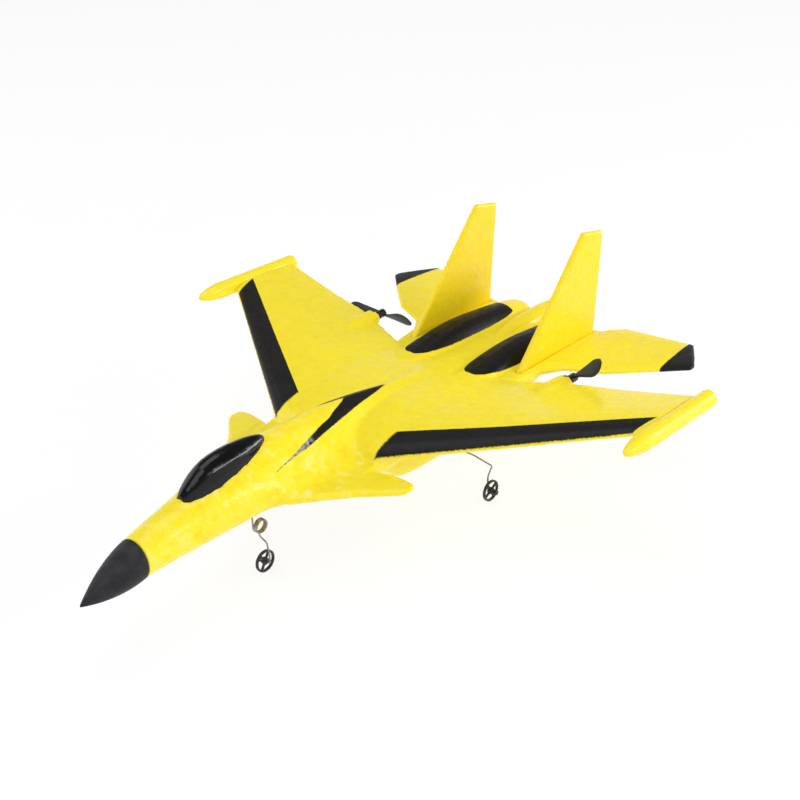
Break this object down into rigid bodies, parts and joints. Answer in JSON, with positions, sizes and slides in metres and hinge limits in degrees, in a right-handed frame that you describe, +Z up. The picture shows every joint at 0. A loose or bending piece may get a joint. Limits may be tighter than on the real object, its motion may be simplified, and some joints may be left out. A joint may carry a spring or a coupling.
{
  "type": "rc jet plane",
  "caption": "Foam twin-propeller radio-control jet with swept wings, twin tail fins, black canopy, wire landing gear and a belly electronics bay.",
  "frame": {"origin": "on the ground under the middle of the bounding box, where the wheels' lowest points lie", "axes": "+Z up, nose towards -Y, +X to the port (left-hand) wing"},
  "size_m": [0.3, 0.36, 0.123],
  "materials": {
    "foam_yellow": "satin",
    "charcoal_paint": "matte",
    "canopy_black": "gloss",
    "black_plastic": "satin",
    "steel_wire": "satin",
    "motor_can": "polished",
    "white_plastic": "satin",
    "dark_panel": "matte",
    "screw_steel": "satin",
    "lead_insulation": "satin",
    "battery_foil": "satin",
    "ivory_plastic": "satin",
    "circuit_board": "satin",
    "component_black": "matte",
    "red_lens": "gloss"
  },
  "bodies": {
    "root": {"airframe": "foam_yellow", "port_fin": "foam_yellow", "starboard_fin": "foam_yellow", "nose_cone": "charcoal_paint", "canopy": "canopy_black", "port_wingtip_rod": "foam_yellow", "starboard_wingtip_rod": "foam_yellow", "port_motor_mount": "black_plastic", "starboard_motor_mount": "black_plastic", "port_motor": "motor_can", "starboard_motor": "motor_can", "port_motor_leads": "lead_insulation", "starboard_motor_leads": "lead_insulation", "nose_gear_socket": "white_plastic", "nose_gear_stub": "steel_wire", "nose_coil_spring": "steel_wire", "port_gear_socket": "white_plastic", "starboard_gear_socket": "white_plastic", "port_gear_wire": "steel_wire", "starboard_gear_wire": "steel_wire", "port_wheel_cap": "black_plastic", "starboard_wheel_cap": "black_plastic", "electronics_tray": "dark_panel", "belly_panel": "dark_panel", "panel_screws": "screw_steel", "hatch_pin": "steel_wire", "battery": "battery_foil", "battery_plug": "ivory_plastic", "receiver_board": "circuit_board", "board_components": "component_black", "antenna_wire": "lead_insulation", "switch_body": "motor_can", "charge_socket": "ivory_plastic", "status_light": "red_lens"},
    "port_prop": {"port_motor_shaft": "steel_wire", "port_propeller": "black_plastic"},
    "starboard_prop": {"starboard_motor_shaft": "steel_wire", "starboard_propeller": "black_plastic"},
    "nose_leg": {"nose_leg_wire": "steel_wire", "nose_wheel_cap": "black_plastic"},
    "nose_wheel_body": {"nose_wheel": "black_plastic"},
    "port_wheel_body": {"port_wheel": "black_plastic"},
    "starboard_wheel_body": {"starboard_wheel": "black_plastic"},
    "switch": {"switch_slider": "black_plastic"},
    "hatch": {"battery_hatch": "dark_panel"}
  },
  "joints": [
    {"name": "port_prop_spin", "type": "hinge", "parent": "root", "child": "port_prop", "pos_m": [0.0675, 0.0907, 0.0642], "axis": [0, 1, 0], "continuous": true},
    {"name": "starboard_prop_spin", "type": "hinge", "parent": "root", "child": "starboard_prop", "pos_m": [-0.0675, 0.0907, 0.0642], "axis": [0, 1, 0], "continuous": true},
    {"name": "nose_leg_flex", "type": "hinge", "parent": "root", "child": "nose_leg", "pos_m": [0, -0.0745, 0.0284], "axis": [1, 0, 0], "range_deg": [-4, 12], "stiffness_Nm_per_rad": 0.02},
    {"name": "nose_wheel_roll", "type": "hinge", "parent": "nose_leg", "child": "nose_wheel_body", "pos_m": [0, -0.072, 0.006], "axis": [1, 0, 0], "continuous": true},
    {"name": "port_wheel_roll", "type": "hinge", "parent": "root", "child": "port_wheel_body", "pos_m": [0.045, 0.051, 0.006], "axis": [1, 0, 0], "continuous": true},
    {"name": "starboard_wheel_roll", "type": "hinge", "parent": "root", "child": "starboard_wheel_body", "pos_m": [-0.045, 0.051, 0.006], "axis": [1, 0, 0], "continuous": true},
    {"name": "power_switch_slide", "type": "slide", "parent": "root", "child": "switch", "axis": [1, 0, 0], "range_m": [0, 0.002]},
    {"name": "battery_hatch_hinge", "type": "hinge", "parent": "root", "child": "hatch", "pos_m": [0, -0.0589, 0.0406], "axis": [-1, 0, 0], "range_deg": [0, 85]}
  ]
}
